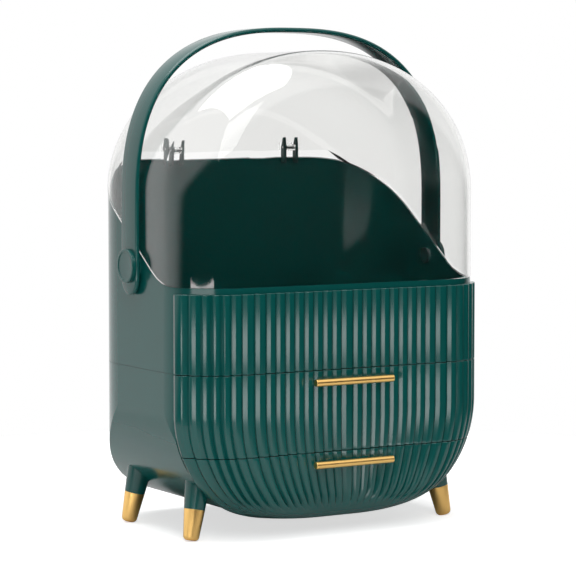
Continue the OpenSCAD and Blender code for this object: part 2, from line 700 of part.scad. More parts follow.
// Closed block inside or outside the lid's wall, moved in by d.
module lid_block(d) {
    rings = concat([for (i = [0 : lid_steps]) lid_ring(d, true, 90 * i / lid_steps)],
        [for (i = [lid_steps : -1 : 0]) lid_ring(d, false, 90 * i / lid_steps)]);
    n = len(lid_angles);
    m = len(rings);
    polyhedron(points = [for (r = rings) for (p = r) p], faces = concat(
        [[for (j = [n - 1 : -1 : 0]) j]],
        [for (i = [0 : m - 2]) for (j = [0 : n - 1])
            [i * n + j, (i + 1) * n + (j + 1) % n, (i + 1) * n + j]],
        [for (i = [0 : m - 2]) for (j = [0 : n - 1])
            [i * n + j, i * n + (j + 1) % n, (i + 1) * n + (j + 1) % n]],
        [[for (j = [0 : n - 1]) (m - 1) * n + j]]), convexity = 6);
}

module lid_dome() color(clear) placed() difference() {
    lid_block(0);
    lid_block(lid_t);
    edge_block(lid_gap);
    // The back edge stays above the hinge's sweep
    translate([-body_w, hinge_y - 4, 0]) cube([2 * body_w, body_d, lid_back_z]);
    // Slots that let the back edge turn past the ears
    for (s = [-1, 1], e = [-1, 1])
        translate([s * hinge_x + e * (tongue_w / 2 + ear_gap + ear_t / 2) - ear_t / 2 - ear_gap,
            hinge_y, 0]) cube([ear_t + 2 * ear_gap, body_d, hinge_z + 4.5]);
}

// Tongue from the lid's back wall to a barrel on the hinge pin.
module lid_knuckles() color(clear) placed() intersection() {
    lid_block(lid_t);
    for (s = [-1, 1]) translate([s * hinge_x - tongue_w / 2, 0, 0]) rotate([90, 0, 90])
        linear_extrude(tongue_w) difference() {
            union() {
                translate([hinge_y, hinge_z]) circle(barrel_r);
                translate([hinge_y, hinge_z - 2.4]) square([lid_y1 - hinge_y, 5.4]);
            }
            translate([hinge_y, hinge_z]) circle(d = hinge_pin_d + 2 * pin_fit);
        }
}

lower_case();
upper_case();
upper_fascia();
drawer_shelf();
lower_runners();
hinge_ears();
hinge_pins();
handle_pins();
leg_front_left();
leg_front_right();
leg_rear_left();
leg_rear_right();
ferrule_front_left();
ferrule_front_right();
ferrule_rear_left();
ferrule_rear_right();
case_screws();
upper_tray();
upper_drawer_front();
upper_bar();
upper_posts();
upper_bar_screws();
lower_tray();
lower_drawer_front();
lower_bar();
lower_posts();
lower_bar_screws();
handle_band();
cap_left();
cap_right();
lid_dome();
lid_knuckles();
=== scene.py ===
"""Dustproof makeup organizer: smooth moulded shell, fluted drawers, clear dome lid, carrying handle."""
import json
import math

import bmesh
import bpy
from bpy.props import FloatProperty, FloatVectorProperty, PointerProperty
from mathutils import Matrix, Vector


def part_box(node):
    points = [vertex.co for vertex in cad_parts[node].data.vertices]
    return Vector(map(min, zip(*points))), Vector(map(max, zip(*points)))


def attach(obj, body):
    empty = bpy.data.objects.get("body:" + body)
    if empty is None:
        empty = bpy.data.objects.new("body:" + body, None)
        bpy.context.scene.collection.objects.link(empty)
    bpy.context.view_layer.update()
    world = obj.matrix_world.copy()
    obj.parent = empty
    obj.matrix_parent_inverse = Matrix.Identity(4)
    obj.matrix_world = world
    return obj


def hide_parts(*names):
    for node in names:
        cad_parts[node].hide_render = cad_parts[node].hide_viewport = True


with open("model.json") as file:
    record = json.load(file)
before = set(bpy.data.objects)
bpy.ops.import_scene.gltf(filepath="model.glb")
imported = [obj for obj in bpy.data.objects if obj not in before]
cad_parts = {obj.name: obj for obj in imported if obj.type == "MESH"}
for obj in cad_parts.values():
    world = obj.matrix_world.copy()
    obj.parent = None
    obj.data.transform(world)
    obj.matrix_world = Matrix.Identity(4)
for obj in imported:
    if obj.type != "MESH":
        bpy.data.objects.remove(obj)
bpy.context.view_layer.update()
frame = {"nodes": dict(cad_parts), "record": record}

bl_info = {
    "name": "Makeup organizer",
    "version": (1, 0, 0),
    "blender": (4, 5, 0),
    "location": "View3D > Sidebar > Organizer",
    "description": "Builds the organizer's visible pieces round its CAD frame",
    "category": "Object",
}

MM = 0.001
FRONT_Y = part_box("upper_fascia")[0][1]   # plane of the flutes' crests

# Sizes are in millimetres: x from the middle, y from the flutes' crests backward, z from the floor.


def at(x, y, z):
    """A point given in millimetres, y from the crests backward, in the row frame in metres."""
    return Vector((x * MM, y * MM + FRONT_Y, z * MM))


def linear(hex_colour):
    """sRGB hex to linear RGBA."""
    parts = [int(hex_colour[i:i + 2], 16) / 255 for i in (0, 2, 4)]
    return tuple(c / 12.92 if c <= 0.04045 else ((c + 0.055) / 1.055) ** 2.4 for c in parts) + (1.0,)


# ---------------------------------------------------------------- nodes and materials

# Inputs of a Mix node by number: the factor, and the two values as numbers or as colours
MIX_FACTOR = 0
MIX_NUMBERS = (2, 3)
MIX_COLOURS = (6, 7)
MIX_COLOUR_OUT = 2


def add_node(tree, kind, settings=None, links=None):
    """Adds a node. Settings are input values or attributes; links feed inputs from a socket or node."""
    node = tree.nodes.new(kind)
    for name, value in (settings or {}).items():
        if isinstance(name, int) or name in node.inputs:
            node.inputs[name].default_value = value
        else:
            setattr(node, name, value)
    for name, source in (links or {}).items():
        socket = source.outputs[0] if isinstance(source, bpy.types.Node) else source
        tree.links.new(socket, node.inputs[name])
    return node


def empty_tree(owner):
    """The emptied node tree of a material or a world."""
    owner.use_nodes = True
    owner.node_tree.nodes.clear()
    return owner.node_tree


def new_material(name, values):
    """A material with a Principled shader that holds the given socket values."""
    material = bpy.data.materials.new(name)
    tree = empty_tree(material)
    shader = add_node(tree, "ShaderNodeBsdfPrincipled", values)
    add_node(tree, "ShaderNodeOutputMaterial", links={"Surface": shader})
    return material, tree, shader


# Width of the soft clouds in which a moulded wall's gloss and colour drift
CLOUD_MM = 71.43


def grain(tree, shader, size_mm, strength, height_mm, rough_low, rough_high):
    """Grain of the surface as bump, and a small drift of roughness; gives the place and the drift.

    Real mould and plating grain is 0.1 to 0.3 mm wide, too fine to show at this distance, so it is
    drawn 0.5 to 1.2 mm wide."""
    place = add_node(tree, "ShaderNodeTexCoord").outputs["Object"]
    noise = add_node(tree, "ShaderNodeTexNoise", {"Scale": 1000 / size_mm, "Detail": 3.0},
                     {"Vector": place})
    bump = add_node(tree, "ShaderNodeBump", {"Strength": strength, "Distance": height_mm * MM},
                    {"Height": noise})
    tree.links.new(bump.outputs[0], shader.inputs["Normal"])
    drift = add_node(tree, "ShaderNodeTexNoise", {"Scale": 1000 / CLOUD_MM, "Detail": 4.0},
                     {"Vector": place})
    spread = add_node(tree, "ShaderNodeMapRange", {"To Min": rough_low, "To Max": rough_high},
                      {"Value": drift})
    tree.links.new(spread.outputs[0], shader.inputs["Roughness"])
    return place, drift


def mottle(tree, shader, pattern, low, high):
    """Lets the colour drift between two close ones, so that a wall isn't one flat colour."""
    mix = add_node(tree, "ShaderNodeMix", {"data_type": "RGBA", MIX_COLOURS[0]: low, MIX_COLOURS[1]: high},
                   {MIX_FACTOR: pattern})
    tree.links.new(mix.outputs[MIX_COLOUR_OUT], shader.inputs["Base Color"])


def shade(colour, factor=1.0):
    """A colour made lighter or darker by a factor, as RGBA."""
    return tuple(part * factor for part in colour) + (1.0,)


def satin_abs(name, look):
    """Injection-moulded ABS, satin, dyed deep teal: dark when square on, pale where it grazes light."""
    material, tree, shader = new_material(name, {"IOR": 1.53})
    _, drift = grain(tree, shader, 0.9, 0.05, 0.02, look.shell_rough - 0.03, look.shell_rough + 0.03)
    mottle(tree, shader, drift, shade(look.shell_colour, 0.94), shade(look.shell_colour, 1.06))
    return material


def matte_abs(name, look):
    """Injection-moulded ABS from a grained mould, inside the drawers: deeper and matter than the shell."""
    material, tree, shader = new_material(name, {"IOR": 1.53})
    _, drift = grain(tree, shader, 0.7, 0.12, 0.03, 0.48, 0.56)
    mottle(tree, shader, drift, shade(look.tray_colour, 0.9), shade(look.tray_colour, 1.1))
    return material


def plated_gold(name, look):
    """Gold-coloured electroplate on polished metal: bright streaks over deep brown reflections."""
    material, tree, shader = new_material(name, {"Metallic": 1.0})
    place, _ = grain(tree, shader, 1.2, 0.03, 0.01, 0.26, 0.34)
    # Patches of thinner plating, about 17 mm wide
    patches = add_node(tree, "ShaderNodeTexNoise", {"Scale": 1000 / 16.67, "Detail": 2.0},
                       {"Vector": place})
    mottle(tree, shader, patches, shade(look.gold_colour, 0.95), shade(look.gold_colour))
    return material


def zinc_steel(name, look):
    """Zinc-plated, lightly brushed steel of pins and screws: a soft grey that mirrors little."""
    material, tree, shader = new_material(name, {"Metallic": 1.0})
    _, drift = grain(tree, shader, 0.5, 0.08, 0.01, 0.28, 0.38)
    mottle(tree, shader, drift, linear("A9ABAD"), linear("C2C4C5"))
    return material


def clear_pmma(name, look):
    """Clear PMMA, moulded 2 mm thick: nearly colourless, with bright edges and soft reflections."""
    material, tree, shader = new_material(name, {"IOR": 1.49, "Transmission Weight": 1.0,
                                                 "Base Color": shade(look.clear_colour)})
    place = add_node(tree, "ShaderNodeTexCoord").outputs["Object"]
    # Shallow flow waves of the moulding, about 110 mm long
    waves = add_node(tree, "ShaderNodeTexNoise", {"Scale": 1000 / 111.1, "Detail": 1.0},
                     {"Vector": place})
    bump = add_node(tree, "ShaderNodeBump", {"Strength": 0.04, "Distance": 0.4 * MM}, {"Height": waves})
    tree.links.new(bump.outputs[0], shader.inputs["Normal"])
    spread = add_node(tree, "ShaderNodeMapRange", {"To Min": 0.01, "To Max": 0.03}, {"Value": waves})
    tree.links.new(spread.outputs[0], shader.inputs["Roughness"])
    return material


# The record's material slots: the material's name and what makes it
FINISHES = {
    "shell": ("satin_moulded_abs_teal", satin_abs),
    "tray": ("matte_moulded_abs_teal", matte_abs),
    "gold": ("gold_electroplated_metal", plated_gold),
    "steel": ("zinc_plated_steel", zinc_steel),
    "clear": ("clear_moulded_pmma", clear_pmma),
}


def finish_for(slot):
    """The material of a slot, made once."""
    name, make = FINISHES[slot]
    return bpy.data.materials.get(name) or make(name, bpy.context.scene.organizer_look)


# ---------------------------------------------------------------- mesh helpers

CORNER_REACH = 0.45   # most of an edge that a rounded corner takes


def add_object(name, data):
    """An object in the scene that holds the data."""
    obj = bpy.data.objects.new(name, data)
    bpy.context.collection.objects.link(obj)
    return obj


def piece(name, verts, faces, slot, body, *nodes, sharp=35.0):
    """A mesh piece that rides on a body, takes a slot's finish and stands for CAD nodes."""
    mesh = bpy.data.meshes.new(name)
    mesh.from_pydata([tuple(v) for v in verts], [], faces)
    work = bmesh.new()
    work.from_mesh(mesh)
    bmesh.ops.remove_doubles(work, verts=work.verts, dist=1e-6)
    bmesh.ops.recalc_face_normals(work, faces=work.faces)
    work.to_mesh(mesh)
    work.free()
    mesh.polygons.foreach_set("use_smooth", [True] * len(mesh.polygons))
    mesh.set_sharp_from_angle(angle=math.radians(sharp))
    obj = add_object(name, mesh)
    mesh.materials.append(finish_for(slot))
    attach(obj, body)
    if nodes:
        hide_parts(*nodes)
    return obj


def grid_faces(rows, cols, start=0, wrap=False, flip=False):
    """Quads of a grid of points stored row by row."""
    faces = []
    for i in range(rows - 1):
        for j in range(cols if wrap else cols - 1):
            k = (j + 1) % cols
            quad = (start + i * cols + j, start + i * cols + k,
                    start + (i + 1) * cols + k, start + (i + 1) * cols + j)
            faces.append(quad[::-1] if flip else quad)
    return faces


def lathe(profile, steps=64):
    """Points and faces of a profile of (radius, height) turned about Z; ends at radius 0 are closed."""
    verts = [Vector((r * math.cos(2 * math.pi * i / steps), r * math.sin(2 * math.pi * i / steps), h))
             for r, h in profile for i in range(steps)]
    return verts, grid_faces(len(profile), steps, wrap=True)


def rounded(outline, radius, steps=5):
    """Rounds the corners of an open profile of (a, b) points, apart from its two ends."""
    result = [outline[0]]
    for before, corner, after in zip(outline, outline[1:], outline[2:]):
        middle = Vector(corner)
        back = Vector(before) - middle
        ahead = Vector(after) - middle
        reach = min(radius, back.length * CORNER_REACH, ahead.length * CORNER_REACH)
        start = middle + back.normalized() * reach
        end = middle + ahead.normalized() * reach
        for i in range(steps + 1):
            t = i / steps
            result.append(tuple(start * (1 - t) ** 2 + middle * 2 * t * (1 - t) + end * t ** 2))
    result.append(outline[-1])
    return result


def arch_point(half_width, base_z, rise, square, t):
    """Point (x, z) of a squarish arch at the angle t, and its unit direction outward."""
    c, s = math.cos(t), math.sin(t)
    side = 1 if c >= 0 else -1
    x = side * half_width * abs(c) ** (2 / square)
    z = base_z + rise * abs(s) ** (2 / square)
    nx = side * abs(c) ** (2 - 2 / square) / half_width
    nz = abs(s) ** (2 - 2 / square) / rise
    size = math.hypot(nx, nz)
    return x, z, nx / size, nz / size


# ---------------------------------------------------------------- fluted fronts

# Outline of the fronts: the panel turns round the front corners and ends at EDGE_Y on the sides
BODY_W = 300.0
FRONT_R = 50.0
EDGE_Y = 34.0
END_MARGIN = 0.5      # least distance from EDGE_Y at the panel's middle, falling to 0 at its ends
END_SHARE = 0.9999    # share of the panel from which a point lies on EDGE_Y

# Belly: round of the sides and of the front, and its lowest line
BELLY_R = 92.0
BELLY_Z = 13.5
BELLY_FRONT_R = 25.0
BELLY_ZC = BELLY_Z + BELLY_R

# Seams between the fronts, and the walls behind the flutes
FASCIA_TOP_Z = 202.4
SEAM_Z = 137.9
DRAWER_SEAM_Z = 70.8
FRONT_GAP = 0.5
FASCIA_WALL = 6.8
DRAWER_WALL = 7.8
DRAWER_FLOOR_Z = 27.15
FASCIA_ROWS = 0       # rows of points down the belly's curve; the fascia ends above it
UPPER_ROWS = 16
LOWER_ROWS = 44

# Flutes: widths from the middle outward; those on the corner are wider or narrower than the rest
LAST_FLUTE = 16
CENTRE_FLUTE_W = 11.3
FLUTE_W = 8.8
CORNER_FLUTES = {9: 1.16, 10: 1.32, 11: 1.18, 12: 0.98, 13: 0.98, 14: 0.98, 15: 1.34, 16: 1.6}
# Shares of a flute's width with a point of its profile: straight flank, tight shoulder, low crown
HALF_SHARES = (0.0, 0.025, 0.24, 0.275, 0.31, 0.4, 0.5)
FLUTE_SHARES = HALF_SHARES + tuple(1 - t for t in HALF_SHARES[-2::-1])
SHOULDER = 0.45       # half width of the crown, as a share of the flute's half width
SHOULDER_SINK = 0.1   # depth at the shoulder, as a share of the groove's
FADE_LOW_Z = BELLY_Z + 8.0    # the grooves run out between these heights under the belly
FADE_TOP_Z = BELLY_Z + 22.0

# Shares of a rounded edge's radius at which a row of points lies
LIP_ROWS = (0.0, 0.06, 0.2, 0.45, 0.75, 1.0)


def flute_sink(t):
    """Depth below the crest, as a share of the groove's: a low crown, then straight flanks."""
    u = abs(2 * t - 1)
    if u < SHOULDER:
        return SHOULDER_SINK * (u / SHOULDER) ** 2
    return SHOULDER_SINK + (1 - SHOULDER_SINK) * (u - SHOULDER) / (1 - SHOULDER)


def flute_line():
    """(share of the panel's half, share of the groove's depth) from the left end to the right one."""
    edges = [CENTRE_FLUTE_W / 2]
    for k in range(1, LAST_FLUTE + 1):
        edges.append(edges[-1] + FLUTE_W * CORNER_FLUTES.get(k, 1.0))
    end = edges[-1]
    half = [(edges[0] * (2 * t - 1) / end, flute_sink(t)) for t in FLUTE_SHARES if t >= 0.5]
    for a, b in zip(edges, edges[1:]):
        half += [((a + (b - a) * t) / end, flute_sink(t)) for t in FLUTE_SHARES[1:]]
    return [(-u, sink) for u, sink in half[:0:-1]] + half


def groove_fade(z):
    """Share of the grooves' full depth at a height: they run out smoothly under the belly."""
    share = min(1.0, max(0.0, (z - FADE_LOW_Z) / (FADE_TOP_Z - FADE_LOW_Z)))
    return share * share * (3 - 2 * share)


def level_hw(z, inset):
    """Half width of the body at a height, moved in by the inset."""
    h = max(0.0, BELLY_ZC - z)
    r = BELLY_R - inset
    return BODY_W / 2 - BELLY_R + math.sqrt(max(0.0, r * r - h * h)) + inset


def level_y(z, inset):
    """How far the front turns back at a height, as the belly goes under it."""
    h = max(0.0, BELLY_Z + BELLY_FRONT_R - z)
    r = BELLY_FRONT_R - inset
    return BELLY_FRONT_R - math.sqrt(max(0.0, r * r - h * h)) - inset


def front_point(u, z, inset, sink):
    """Point of a front at the share u of its half, on the face moved in by inset, sunk by sink more."""
    y = level_y(z, inset)
    depth = inset + sink
    flat = max(0.0, level_hw(z, inset) - FRONT_R)
    turn = math.acos(max(-1.0, min(1.0, (FRONT_R - EDGE_Y + y) / FRONT_R)))
    along = abs(u) * (flat + FRONT_R * turn)
    if along <= flat:
        x, y = along, y + depth
    else:
        a = (along - flat) / FRONT_R
        x = flat + (FRONT_R - depth) * math.sin(a)
        y = min(EDGE_Y - END_MARGIN * (1 - abs(u)), y + FRONT_R - (FRONT_R - depth) * math.cos(a))
    return at(math.copysign(x, u), EDGE_Y if abs(u) > END_SHARE else y, z)


def lip(distance, radius):
    """How far a rounded edge is drawn in at a distance from the edge."""
    if distance >= radius:
        return 0.0
    return radius - math.sqrt(max(0.0, radius * radius - (radius - distance) ** 2))


def belly_angle(z):
    """Angle on the belly's round at a height, 0 above it."""
    return math.asin(min(1.0, max(0.0, (BELLY_ZC - z) / BELLY_R)))


def front_levels(top, bottom, rows, lip_r, lip_below):
    """Heights from top to bottom: close together at the rounded edges, else by the belly's angle."""
    heights = [top - lip_r * e for e in LIP_ROWS]
    first = belly_angle(heights[-1])
    last = belly_angle(bottom + (lip_r if lip_below else 0.0))
    if first == 0 and last > 0:
        heights.append(BELLY_ZC)
    if last > first:
        heights += [BELLY_ZC - BELLY_R * math.sin(first + (last - first) * i / rows)
                    for i in range(1, rows + 1)]
    if lip_below:
        heights += [bottom + lip_r * e for e in LIP_ROWS[::-1]][1 if last > first else 0:]
    else:
        heights[-1] = bottom
    return heights


def fluted_front(name, body, top, bottom, rows, wall, floor=None):
    """A front as a closed shell: fluted outside, smooth inside.

    Without a floor it is open below, and its lower edge is rounded as its upper one is. With a floor it
    runs under the belly to its lowest line, and its inside ends at the floor's height."""
    look = bpy.context.scene.organizer_look
    lip_r = look.lip_r / MM
    groove = look.flute_depth / MM
    line = flute_line()
    heights = front_levels(top, bottom, rows, lip_r, floor is None)
    inner_low = bottom if floor is None else floor
    n, m = len(line), len(heights)
    verts = []
    for z in heights:
        drawn_in = lip(min(top - z, z - bottom) if floor is None else top - z, lip_r)
        depth = groove * groove_fade(z)
        verts += [front_point(u, z, 0.0, sink * depth + drawn_in) for u, sink in line]
    for i in range(m):
        z = top + (inner_low - top) * i / (m - 1)
        verts += [front_point(u, z, wall, 0.0) for u, _ in line]
    inner = m * n
    last = (m - 1) * n
    faces = grid_faces(m, n) + grid_faces(m, n, start=inner, flip=True)
    for j in range(n - 1):
        faces.append((j + 1, j, inner + j, inner + j + 1))
        if floor is None:
            faces.append((last + j, last + j + 1, inner + last + j + 1, inner + last + j))
    for i in range(m - 1):
        for j in (0, n - 1):
            a = i * n + j
            quad = (a, a + n, inner + a + n, inner + a)
            faces.append(quad if j == 0 else quad[::-1])
    if floor is not None:
        faces.append(tuple(range(last, last + n)))
        faces.append(tuple(range(inner + last + n - 1, inner + last - 1, -1)))
        faces.append((last, inner + last, inner + last + n - 1, last + n - 1))
    return piece(name, verts, faces, "shell", body, name, sharp=50.0)


# ---------------------------------------------------------------- lid

# The case's top edge, seen from the side: level rim, curved slope, level back wall
RIM_Z = 207.3
BACK_TOP_Z = 309.0
SLOPE = 0.72
SLOPE_R = 60.0
SLOPE_A = math.atan(SLOPE)
SHELL_FRONT_Y = 3.5
SHELL_FRONT_R = 46.5
SLOPE_Y0 = SHELL_FRONT_Y + SHELL_FRONT_R + 4.0
SLOPE_START_Y = SLOPE_Y0 - SLOPE_R * math.tan(SLOPE_A / 2)
SLOPE_TOP_Y = SLOPE_Y0 + (BACK_TOP_Z - RIM_Z) / SLOPE + SLOPE_R * math.tan(SLOPE_A / 2)

# The dome: upright sides up to LID_CURVE_Z, an arch over them, and a round to the flat front and back
LID_HW = 146.2
LID_Y0 = 3.3
LID_Y1 = 199.0
LID_CURVE_Z = 280.0
LID_TOP_Z = 398.0
LID_SQUARE = 2.08
LID_TOP_R = 38.0
LID_SIDE_R = 47.2
LID_REAR_R = 68.7
LID_T = 2.0
LID_GAP = 0.4
ROUND_RINGS = 14
SIDE_RINGS = 8
ARCH_POINTS = 96
LEG_ROWS = 6
LEG_TURN = 0.02       # angle that the leg's rows take where the lower edge cuts the arch
HALVINGS = 40

# Hinges: two ears on each side of the middle stand in slots of the lid's back
HINGE_X = 59.0
HINGE_Y = 192.8
HINGE_Z = 315.5
TONGUE_HW = 4.5
EAR_HW = 1.2
EAR_GAP = 0.4
EAR_X = TONGUE_HW + EAR_GAP + EAR_HW
SLOT_HW = EAR_HW + EAR_GAP
LID_BACK_Z = HINGE_Z - 2.6
SLOT_TOP_Z = HINGE_Z + 4.5
SLOT_PAST_Z = 20.0    # how far the cutters reach below the lid's edge and behind it
SLOT_PAST_Y = 5.0
STEP_Y = HINGE_Y - 5.0    # the lower edge steps up over the hinges from here
STEP_L = 1.5


def edge_z(y):
    """Height of the case's top edge, seen from the side."""
    if y <= SLOPE_START_Y:
        return RIM_Z
    if y < SLOPE_START_Y + SLOPE_R * math.sin(SLOPE_A):
        return RIM_Z + SLOPE_R - math.sqrt(SLOPE_R ** 2 - (y - SLOPE_START_Y) ** 2)
    if y < SLOPE_TOP_Y - SLOPE_R * math.sin(SLOPE_A):
        return RIM_Z + (y - SLOPE_Y0) * SLOPE
    if y < SLOPE_TOP_Y:
        return BACK_TOP_Z - SLOPE_R + math.sqrt(SLOPE_R ** 2 - (y - SLOPE_TOP_Y) ** 2)
    return BACK_TOP_Z


def lid_bottom(y):
    """Height of the lid's lower edge, which steps up over the hinges at the back."""
    ramp = min(1.0, max(0.0, (y - STEP_Y) / STEP_L))
    return (edge_z(y) + LID_GAP) * (1 - ramp) + LID_BACK_Z * ramp


def lid_point(inset, front, a, t):
    """Point of the lid's wall at the arch angle t, on the front or rear round at the angle a."""
    x, z, nx, nz = arch_point(LID_HW - inset, LID_CURVE_Z, LID_TOP_Z - inset - LID_CURVE_Z, LID_SQUARE, t)
    up = math.sin(t) ** 2
    r = ((LID_SIDE_R * (1 - up) + LID_TOP_R * up) if front else LID_REAR_R) - inset
    inward = r * (1 - math.sin(a))
    turned = inset + r * (1 - math.cos(a))
    y = LID_Y0 + turned if front else LID_Y1 - turned
    return x - inward * nx, y, z - inward * nz


def lid_ring(point):
    """A ring of points, given by the arch angle: up one side from the lower edge, over and down."""
    def above(t):
        _, y, z = point(t)
        return z - lid_bottom(y)

    start = 0.0
    if above(0.0) < 0:
        low, start = 0.0, math.pi / 2
        for _ in range(HALVINGS):
            mid = (low + start) / 2
            low, start = (mid, start) if above(mid) < 0 else (low, mid)
    if start == 0.0:
        x, y, z = point(0.0)
        bottom = lid_bottom(y)
        side = [(x, y, bottom + (z - bottom) * i / LEG_ROWS) for i in range(LEG_ROWS)]
    else:
        side = [point(start + LEG_TURN * i / LEG_ROWS) for i in range(LEG_ROWS)]
        start += LEG_TURN
    arch = [point(start + (math.pi - 2 * start) * i / ARCH_POINTS) for i in range(ARCH_POINTS + 1)]
    return [at(-x, y, z) for x, y, z in side + arch] + [at(x, y, z) for x, y, z in side[::-1]]


def lid_wall(inset):
    """Rings of one face of the lid's wall, from its flat front along the sides to its flat back."""
    def on_round(front, a):
        return lambda t: lid_point(inset, front, a, t)

    def between(share):
        def point(t):
            x, y0, z = lid_point(inset, True, math.pi / 2, t)
            _, y1, _ = lid_point(inset, False, math.pi / 2, t)
            return x, y0 + (y1 - y0) * share, z
        return point

    turns = [math.pi / 2 * i / ROUND_RINGS for i in range(ROUND_RINGS + 1)]
    rings = [on_round(True, a) for a in turns]
    rings += [between(i / SIDE_RINGS) for i in range(1, SIDE_RINGS)]
    rings += [on_round(False, a) for a in turns[::-1]]
    return [lid_ring(point) for point in rings]


def build_lid():
    """The dome: an outer and an inner wall of rings, closed along the lower edge, with the ears' slots."""
    outer = lid_wall(0.0)
    n, m = len(outer[0]), len(outer)
    verts = [p for ring in outer + lid_wall(LID_T) for p in ring]
    inner = m * n
    last = (m - 1) * n
    faces = grid_faces(m, n, flip=True) + grid_faces(m, n, start=inner)
    faces.append(tuple(range(n)))
    faces.append(tuple(range(inner + n - 1, inner - 1, -1)))
    faces.append(tuple(range(last + n - 1, last - 1, -1)))
    faces.append(tuple(range(inner + last, inner + last + n)))
    # The lower edge between the two walls, forward along the left side and back along the right one
    loop = [i * n for i in range(m)][::-1] + [i * n + n - 1 for i in range(m)]
    for v, w in zip(loop, loop[1:] + loop[:1]):
        faces.append((v, w, inner + w, inner + v))
    lid = piece("lid_dome", verts, faces, "clear", "lid", "lid_dome", sharp=40.0)
    cut_slots(lid)
    return lid


def cut_slots(lid):
    """Cuts the four slots in the lid's back through which the hinge ears pass."""
    verts, faces = [], []
    back_y = LID_Y1 + SLOT_PAST_Y
    for centre in (-HINGE_X - EAR_X, -HINGE_X + EAR_X, HINGE_X - EAR_X, HINGE_X + EAR_X):
        start = len(verts)
        left, right = centre - SLOT_HW, centre + SLOT_HW
        for z in (LID_BACK_Z - SLOT_PAST_Z, SLOT_TOP_Z):
            verts += [at(x, y, z) for x, y in ((left, HINGE_Y), (right, HINGE_Y),
                                               (right, back_y), (left, back_y))]
        faces += [(start + 3, start + 2, start + 1, start), (start + 4, start + 5, start + 6, start + 7)]
        for k in range(4):
            j = (k + 1) % 4
            faces.append((start + k, start + j, start + 4 + j, start + 4 + k))
    mesh = bpy.data.meshes.new("slots")
    mesh.from_pydata([tuple(v) for v in verts], [], faces)
    cutter = add_object("slots", mesh)
    slots = lid.modifiers.new("slots", "BOOLEAN")
    slots.object = cutter
    slots.operation = "DIFFERENCE"
    slots.solver = "EXACT"
    cut = bpy.data.meshes.new_from_object(lid.evaluated_get(bpy.context.evaluated_depsgraph_get()))
    lid.modifiers.clear()
    lid.data = cut
    cut.set_sharp_from_angle(angle=math.radians(40.0))
    bpy.data.objects.remove(cutter)


# ---------------------------------------------------------------- handle

BAND_X0 = 147.1       # inner face of the band
BAND_T = 4.0
BAND_W = 26.5
BAND_MID = BAND_X0 + BAND_T / 2
HANDLE_TOP_Z = 418.0
HANDLE_CURVE_Z = 271.0
HANDLE_SQUARE = 2.6
PIVOT_Y = 99.5
PIVOT_Z = 221.7
HANDLE_END_Z = PIVOT_Z - 23.8
END_STEPS = 24        # stations round the lower end, along the straight leg and over the arch
LEG_STEPS = 10
ARCH_STEPS = 120
CORNER_STEPS = 4      # on each rounded corner of the band's section
TIP_SHARE = 0.98      # most of the half width that the soft edges take at the round ends

CAP_D = 28.0
CAP_T = 3.7
CAP_RING_W = 2.5
CAP_DISH = 0.6
CAP_EDGE_R = 0.7


def handle_stations():
    """(x, z, outward x, outward z, half width) along the band, from the left end to the right one."""
    half_w = BAND_W / 2
    end_z = HANDLE_END_Z + half_w
    leg = []
    for i in range(END_STEPS + 1):
        a = math.pi / 2 * i / END_STEPS
        leg.append((BAND_MID, end_z - half_w * math.cos(a), 1.0, 0.0, half_w * math.sin(a)))
    for i in range(1, LEG_STEPS):
        leg.append((BAND_MID, end_z + (HANDLE_CURVE_Z - end_z) * i / LEG_STEPS, 1.0, 0.0, half_w))
    rise = HANDLE_TOP_Z - BAND_T / 2 - HANDLE_CURVE_Z
    arch = [arch_point(BAND_MID, HANDLE_CURVE_Z, rise, HANDLE_SQUARE, math.pi * i / ARCH_STEPS) + (half_w,)
            for i in range(ARCH_STEPS + 1)]
    return leg + arch + [(-x, z, -nx, nz, w) for x, z, nx, nz, w in leg[::-1]]


def build_handle():
    """A flat band bent into an arch, its long edges softened, round at both lower ends."""
    edge = bpy.context.scene.organizer_look.band_edge_r / MM
    section = []
    for corner, (across, out) in enumerate(((1, 1), (-1, 1), (-1, -1), (1, -1))):
        for k in range(CORNER_STEPS + 1):
            turn = math.pi / 2 * (corner + k / CORNER_STEPS)
            section.append((across, out, math.cos(turn), math.sin(turn)))
    stations = handle_stations()
    verts = []
    for x, z, nx, nz, w in stations:
        r = min(edge, w * TIP_SHARE)
        for across, out, c, s in section:
            aside = across * max(0.0, w - r) + r * c
            outward = out * (BAND_T / 2 - edge) + edge * s
            verts.append(at(x + outward * nx, PIVOT_Y + aside, z + outward * nz))
    n, m = len(section), len(stations)
    faces = grid_faces(m, n, wrap=True)
    faces.append(tuple(range(n))[::-1])
    faces.append(tuple(range((m - 1) * n, m * n)))
    return piece("handle_band", verts, faces, "shell", "handle", "handle_band", sharp=60.0)


def build_cap(side):
    """Round cap over a pivot: a raised ring round a shallow dished face."""
    r = CAP_D / 2
    ring_r = r - CAP_RING_W
    dish = CAP_T - CAP_DISH
    profile = rounded([(0.0, 0.0), (r, 0.0), (r, CAP_T), (ring_r, CAP_T), (ring_r, dish), (0.0, dish)],
                      CAP_EDGE_R)
    verts, faces = lathe([(max(0.0, a), b) for a, b in profile], steps=96)
    placed = [at(side * (BAND_X0 + BAND_T + v.z), PIVOT_Y + v.x, PIVOT_Z + v.y) for v in verts]
    name = "cap_right" if side > 0 else "cap_left"
    return piece(name, placed, faces, "shell", "handle", name, sharp=60.0)


# ---------------------------------------------------------------- metal pieces

BAR_D = 6.0
BAR_L = 75.0
BAR_OUT = 8.0
BAR_EDGE_R = 0.5
UPPER_BAR_Z = 128.9
LOWER_BAR_Z = 61.8

